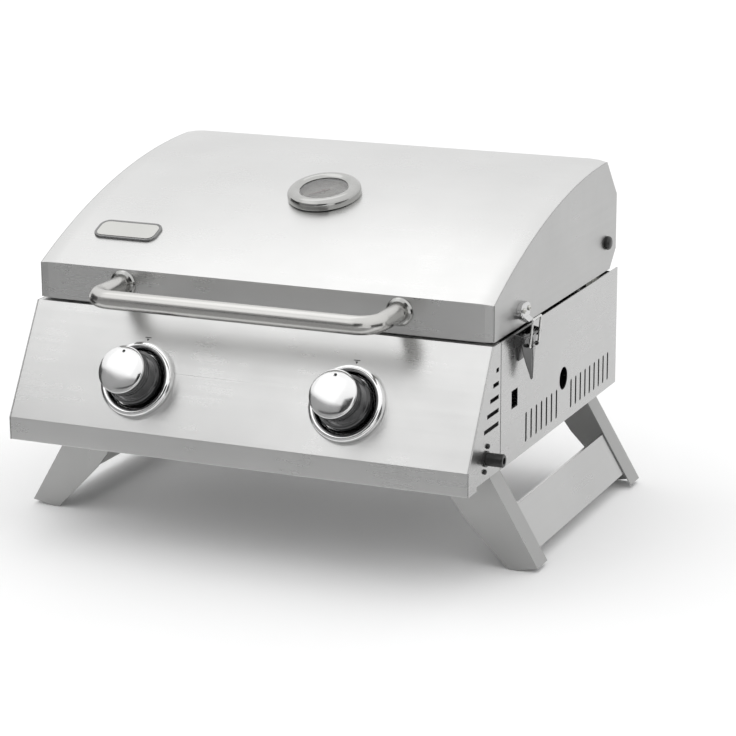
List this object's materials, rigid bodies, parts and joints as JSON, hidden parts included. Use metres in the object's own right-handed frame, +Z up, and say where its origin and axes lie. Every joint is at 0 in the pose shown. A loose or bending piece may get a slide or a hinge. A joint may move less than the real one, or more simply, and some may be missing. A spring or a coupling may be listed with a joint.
{
  "type": "portable tabletop gas grill",
  "caption": "Tabletop gas grill with an arched hinged lid, sloping control panel with knobs, side latches, drip tray and folding legs.",
  "frame": {"origin": "centre of the bounding box at the underside of the feet", "axes": "+X to the right seen from the front, +Y to the back, +Z up"},
  "size_m": [0.5758, 0.4602, 0.36],
  "materials": {
    "lid_sheet": "brushed, grain across the front",
    "body_sheet": "brushed, grain along the sheet",
    "leg_sheet": "brushed",
    "tube_steel": "satin tube",
    "bright_chrome": "polished",
    "latch_chrome": "polished pressed sheet",
    "wire_steel": "drawn wire",
    "burner_steel": "stainless tube",
    "tent_steel": "stainless sheet",
    "tray_metal": "dull sheet",
    "valve_brass": "cast and turned",
    "pipe_metal": "drawn pipe",
    "knob_black": "glossy black",
    "fitting_black": "satin black",
    "zinc": "zinc plated",
    "dial_face": "satin grey brown",
    "needle_paint": "satin",
    "gauge_glass": "clear",
    "ceramic": "glazed white",
    "plate_metal": "satin plate with dark rim"
  },
  "bodies": {
    "base": {"firebox_side_right": "body_sheet", "firebox_side_left": "body_sheet", "firebox_rear": "body_sheet", "firebox_bulkhead": "body_sheet", "firebox_floor": "body_sheet", "control_panel": "body_sheet", "panel_cheek_right": "body_sheet", "panel_cheek_left": "body_sheet", "grate_ledges": "tent_steel", "grate_right": "wire_steel", "grate_left": "wire_steel", "burner_right": "burner_steel", "burner_left": "burner_steel", "heat_tent_right": "tent_steel", "heat_tent_left": "tent_steel", "electrodes": "ceramic", "manifold": "pipe_metal", "valve_bodies": "valve_brass", "knob_bezel_right": "bright_chrome", "knob_bezel_left": "bright_chrome", "gas_inlet": "fitting_black", "inlet_screws": "zinc", "tray_rails": "zinc", "leg_brackets": "zinc", "leg_pins": "zinc", "latch_plate_right": "latch_chrome", "latch_plate_left": "latch_chrome", "hinge_arms": "zinc"},
    "lid": {"lid_cover": "lid_sheet", "lid_end_right": "lid_sheet", "lid_end_left": "lid_sheet", "lid_handle": "tube_steel", "handle_rosettes": "bright_chrome", "handle_bolts": "zinc", "gauge_bezel": "bright_chrome", "gauge_stem": "zinc", "gauge_dial": "dial_face", "gauge_lens": "gauge_glass", "nameplate": "plate_metal", "hinge_bolts": "fitting_black", "latch_keepers": "latch_chrome", "keeper_screws": "zinc"},
    "gauge_pointer": {"gauge_needle": "needle_paint"},
    "tray": {"drip_tray": "tray_metal"},
    "valve_right": {"valve_plug_right": "valve_brass"},
    "knob_right": {"knob_right": "knob_black", "knob_cap_right": "bright_chrome"},
    "legs_right": {"leg_front_right": "leg_sheet", "leg_rear_right": "leg_sheet", "leg_crossbar_right": "leg_sheet"},
    "lever_right": {"latch_lever_right": "latch_chrome"},
    "bail_right": {"latch_bail_right": "wire_steel"},
    "valve_left": {"valve_plug_left": "valve_brass"},
    "knob_left": {"knob_left": "knob_black", "knob_cap_left": "bright_chrome"},
    "legs_left": {"leg_front_left": "leg_sheet", "leg_rear_left": "leg_sheet", "leg_crossbar_left": "leg_sheet"},
    "lever_left": {"latch_lever_left": "latch_chrome"},
    "bail_left": {"latch_bail_left": "wire_steel"}
  },
  "joints": [
    {"name": "lid_hinge", "type": "hinge", "parent": "base", "child": "lid", "pos_m": [0, 0.1956, 0.2695], "axis": [-1, 0, 0], "range_deg": [0, 95]},
    {"name": "gauge_pointer_turn", "type": "hinge", "parent": "lid", "child": "gauge_pointer", "pos_m": [0.002, 0.01559, 0.33546], "axis": [0, 0.2524, -0.9676], "range_deg": [0, 270], "stiffness_Nm_per_rad": 0.0005},
    {"name": "drip_tray_slide", "type": "slide", "parent": "base", "child": "tray", "axis": [0, 1, 0], "range_m": [0, 0.2]},
    {"name": "knob_turn_right", "type": "hinge", "parent": "base", "child": "valve_right", "pos_m": [0.1155, -0.18105, 0.17281], "axis": [0, -0.8638, 0.5038], "range_deg": [0, 180]},
    {"name": "knob_push_right", "type": "slide", "parent": "valve_right", "child": "knob_right", "axis": [0, 0.8638, -0.5038], "range_m": [0, 0.003], "stiffness_N_per_m": 400, "springref_m": -0.003},
    {"name": "leg_fold_right", "type": "hinge", "parent": "base", "child": "legs_right", "pos_m": [0.19471, 0, 0.0925], "axis": [0, 1, 0], "range_deg": [0, 120]},
    {"name": "latch_lever_right", "type": "hinge", "parent": "base", "child": "lever_right", "pos_m": [0.2614, -0.0664, 0.23], "axis": [0, -1, 0], "range_deg": [0, 110]},
    {"name": "latch_bail_right", "type": "hinge", "parent": "lever_right", "child": "bail_right", "pos_m": [0.2652, -0.0664, 0.221], "axis": [0, -1, 0], "range_deg": [-149, 0]},
    {"name": "knob_turn_left", "type": "hinge", "parent": "base", "child": "valve_left", "pos_m": [-0.1155, -0.18105, 0.17281], "axis": [0, -0.8638, 0.5038], "range_deg": [0, 180]},
    {"name": "knob_push_left", "type": "slide", "parent": "valve_left", "child": "knob_left", "axis": [0, 0.8638, -0.5038], "range_m": [0, 0.003], "stiffness_N_per_m": 400, "springref_m": -0.003},
    {"name": "leg_fold_left", "type": "hinge", "parent": "base", "child": "legs_left", "pos_m": [-0.19471, 0, 0.0925], "axis": [0, -1, 0], "range_deg": [0, 120]},
    {"name": "latch_lever_left", "type": "hinge", "parent": "base", "child": "lever_left", "pos_m": [-0.2614, -0.0664, 0.23], "axis": [0, 1, 0], "range_deg": [0, 110]},
    {"name": "latch_bail_left", "type": "hinge", "parent": "lever_left", "child": "bail_left", "pos_m": [-0.2652, -0.0664, 0.221], "axis": [0, 1, 0], "range_deg": [-149, 0]}
  ],
  "couplings": [
    {"joint": "latch_bail_right", "follows": "latch_lever_right", "ratio": -1.35},
    {"joint": "latch_bail_left", "follows": "latch_lever_left", "ratio": -1.35}
  ]
}
